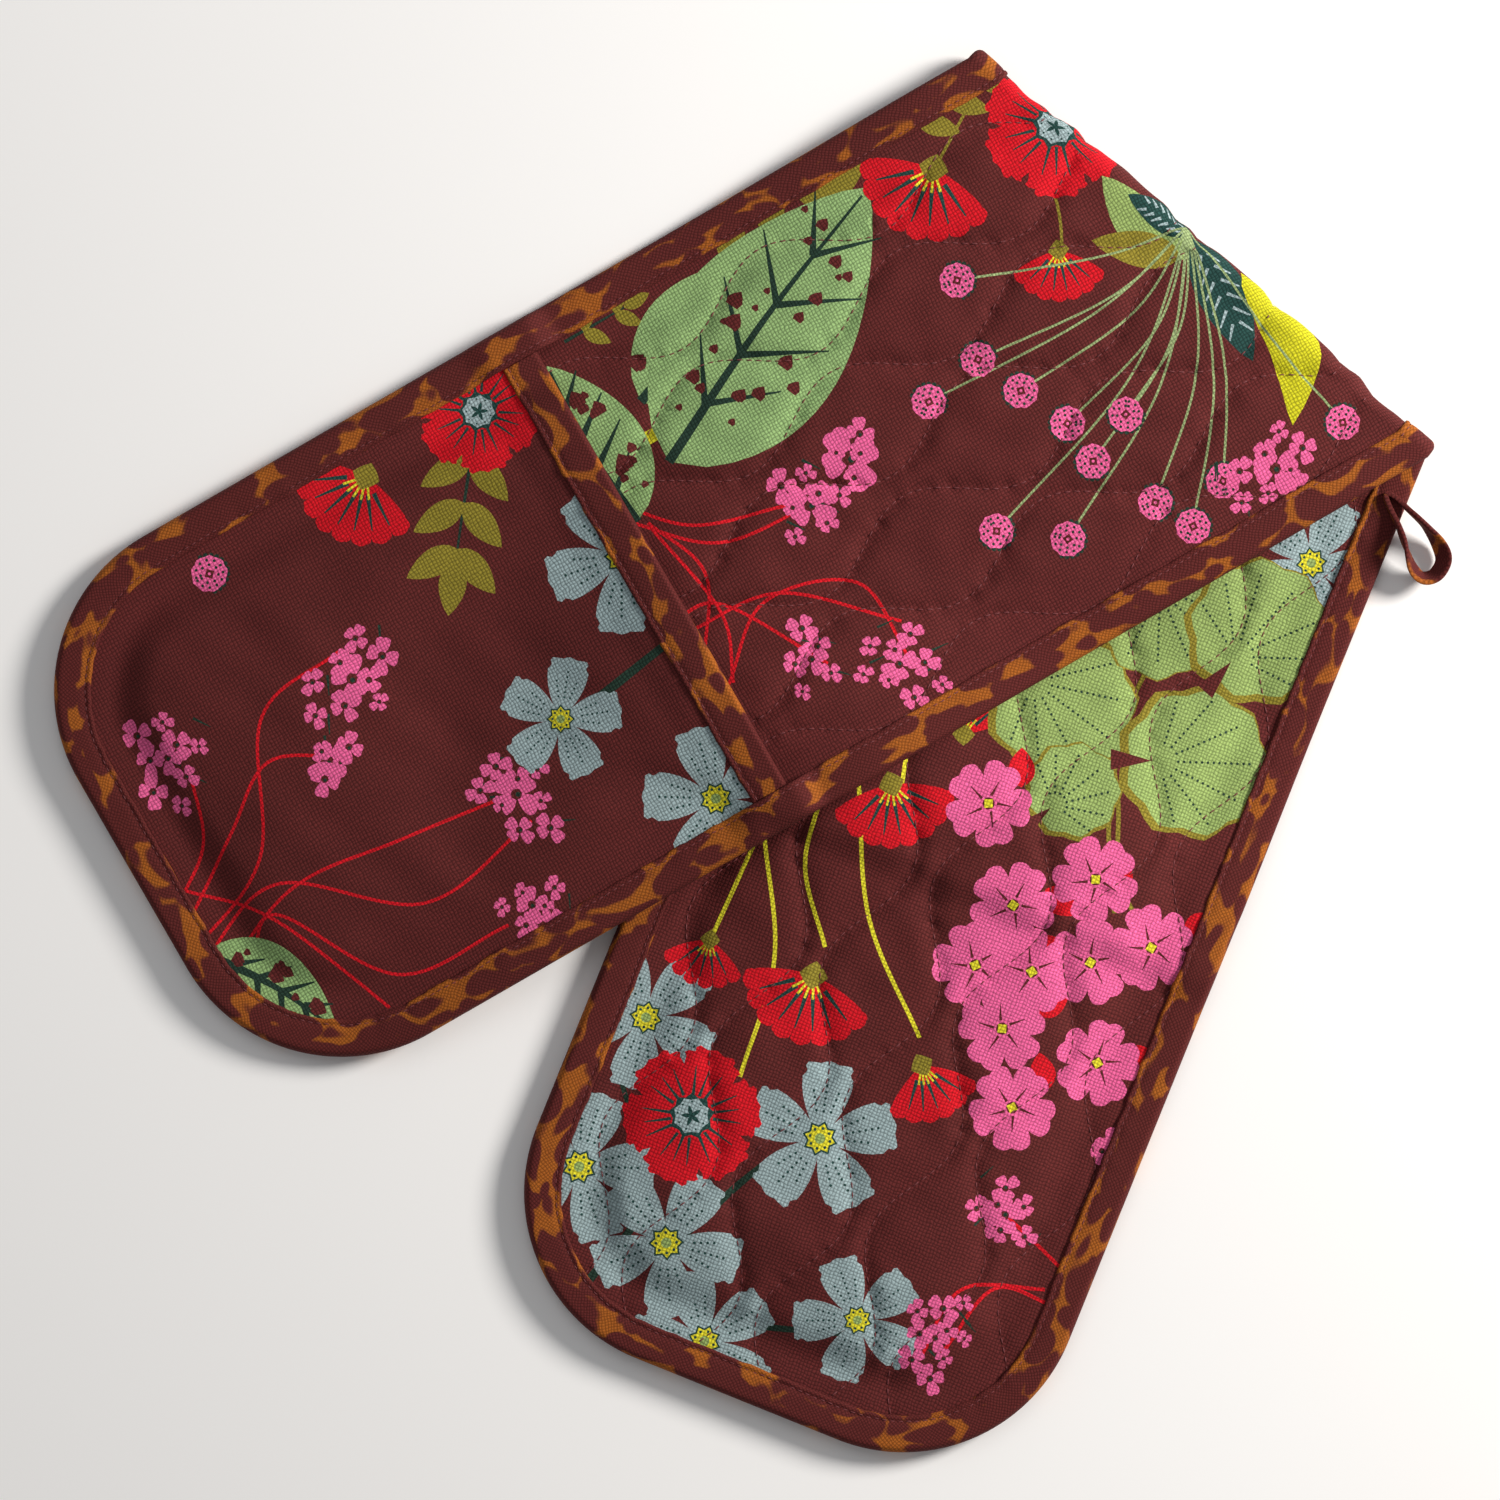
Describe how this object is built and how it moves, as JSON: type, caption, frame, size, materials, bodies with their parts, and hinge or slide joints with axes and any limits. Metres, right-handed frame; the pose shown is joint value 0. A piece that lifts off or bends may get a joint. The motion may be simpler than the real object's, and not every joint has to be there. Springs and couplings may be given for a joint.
{
  "type": "double oven glove",
  "caption": "Long quilted strip folded on a slant, with a hand pocket at each end, bound edges and a hanging loop.",
  "frame": {"origin": "bottom centre of the folded glove's box, on the surface that it lies on", "axes": "+Z up off the surface; seen from above with +Y up, the hanging loop is at the right, the upper half points to the lower left and the lower half points down"},
  "size_m": [0.461, 0.4644, 0.0323],
  "materials": {
    "printed_canvas": "matt woven cotton canvas, burgundy with a printed floral pattern",
    "binding_tape": "matt woven cotton bias tape, burnt orange with burgundy blotches",
    "lining_cotton": "plain undyed cotton",
    "cotton_wadding": "soft off-white cotton wadding"
  },
  "bodies": {
    "lower_half": {"lower_back_cover": "printed_canvas", "lower_wadding": "cotton_wadding", "lower_face_cover": "printed_canvas", "lower_pocket_lining": "lining_cotton", "lower_pocket_wadding": "cotton_wadding", "lower_pocket_face": "printed_canvas", "lower_mouth_binding": "binding_tape", "lower_edge_binding": "binding_tape", "fold_back_cover": "printed_canvas", "fold_wadding": "cotton_wadding", "fold_face_cover": "printed_canvas", "fold_binding_loop_side": "binding_tape", "fold_binding_far_side": "binding_tape"},
    "upper_half": {"upper_back_cover": "printed_canvas", "upper_wadding": "cotton_wadding", "upper_face_cover": "printed_canvas", "upper_pocket_lining": "lining_cotton", "upper_pocket_wadding": "cotton_wadding", "upper_pocket_face": "printed_canvas", "upper_mouth_binding": "binding_tape", "upper_edge_binding": "binding_tape"},
    "loop": {"hanging_loop": "binding_tape"}
  },
  "joints": [
    {"name": "fold", "type": "hinge", "parent": "lower_half", "child": "upper_half", "pos_m": [0.14789, 0.16253, 0.00655], "axis": [-0.7547, 0.6561, 0], "range_deg": [0, 174], "deforming": ["fold_back_cover", "fold_wadding", "fold_face_cover", "fold_binding_loop_side", "fold_binding_far_side"]},
    {"name": "loop_swing", "type": "hinge", "parent": "lower_half", "child": "loop", "pos_m": [0.20936, 0.08424, 0.0076], "axis": [-0.3746, -0.9272, 0], "range_deg": [0, 75]}
  ]
}
